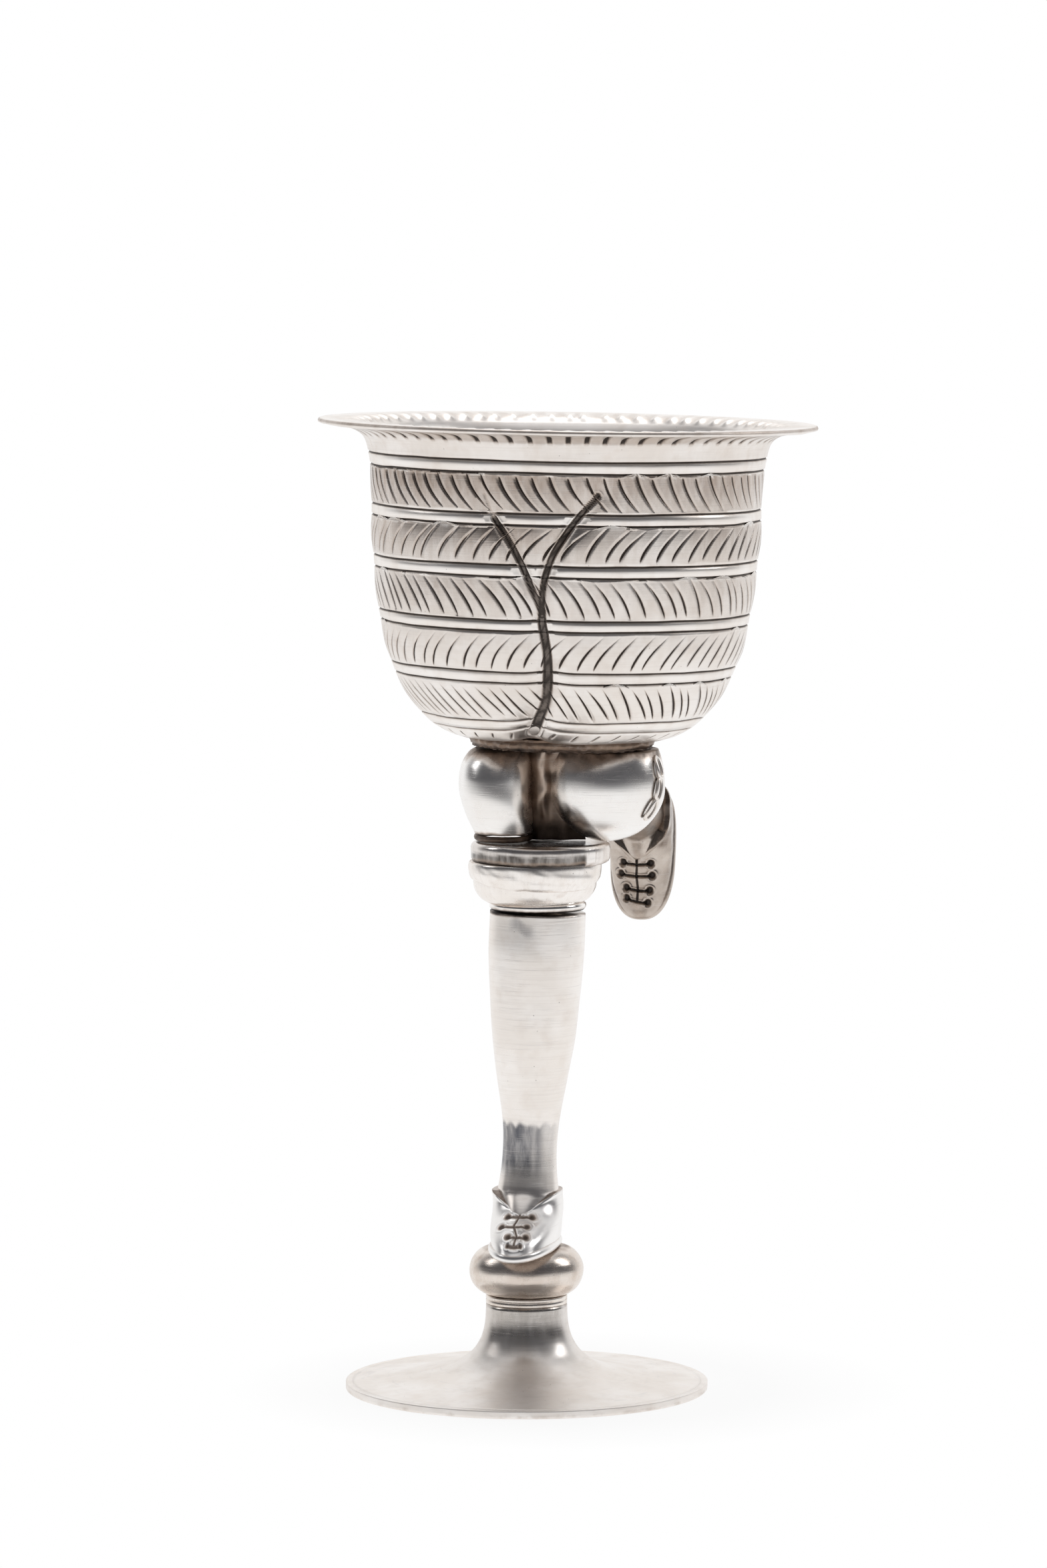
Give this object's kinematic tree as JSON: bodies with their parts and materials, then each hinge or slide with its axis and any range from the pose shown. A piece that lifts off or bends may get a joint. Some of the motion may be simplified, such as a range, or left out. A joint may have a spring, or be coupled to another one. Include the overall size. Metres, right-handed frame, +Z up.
{
  "type": "chalice",
  "caption": "Silver chalice with a flared, chased bowl carried on two knees: one straight leg stands on a knop and a trumpet foot, the other bends back and its laced shoe hangs down.",
  "frame": {"origin": "bottom centre of the bounding box, on the plane that the foot stands on; the rim's centre is above it and the foot's axis is 7.4 mm to its -X side", "axes": "+Z up; -Y is the front, where the knees, the standing shoe's toe and the crease of the bowl face; the bent leg is on the +X side and its shoe hangs behind it, at +Y"},
  "size_m": [0.0894, 0.0894, 0.1755],
  "materials": {
    "bright_silver": "polished, with fine scratches and dark chased lines",
    "worn_silver": "satin, brown tarnish in the hollows",
    "dark_silver": "dull, darkened by solder and tarnish"
  },
  "bodies": {
    "root": {"foot": "worn_silver", "foot_edge_ring": "worn_silver", "neck_collar": "dark_silver", "knop_lower": "worn_silver", "knop_upper": "worn_silver", "standing_shoe_sole": "bright_silver", "standing_shoe_upper": "bright_silver", "standing_calf": "bright_silver", "stocking_band": "bright_silver", "cuff_lower_roll": "worn_silver", "cuff_middle_roll": "bright_silver", "cuff_top_roll": "dark_silver", "knee_ring": "dark_silver", "left_knee": "bright_silver", "right_knee": "bright_silver", "knee_web": "dark_silver", "bowl_seat": "dark_silver", "bowl": "bright_silver", "bent_calf": "bright_silver", "knee_chain": "bright_silver", "hanging_shoe_upper": "worn_silver", "hanging_shoe_sole": "worn_silver"}
  },
  "joints": []
}
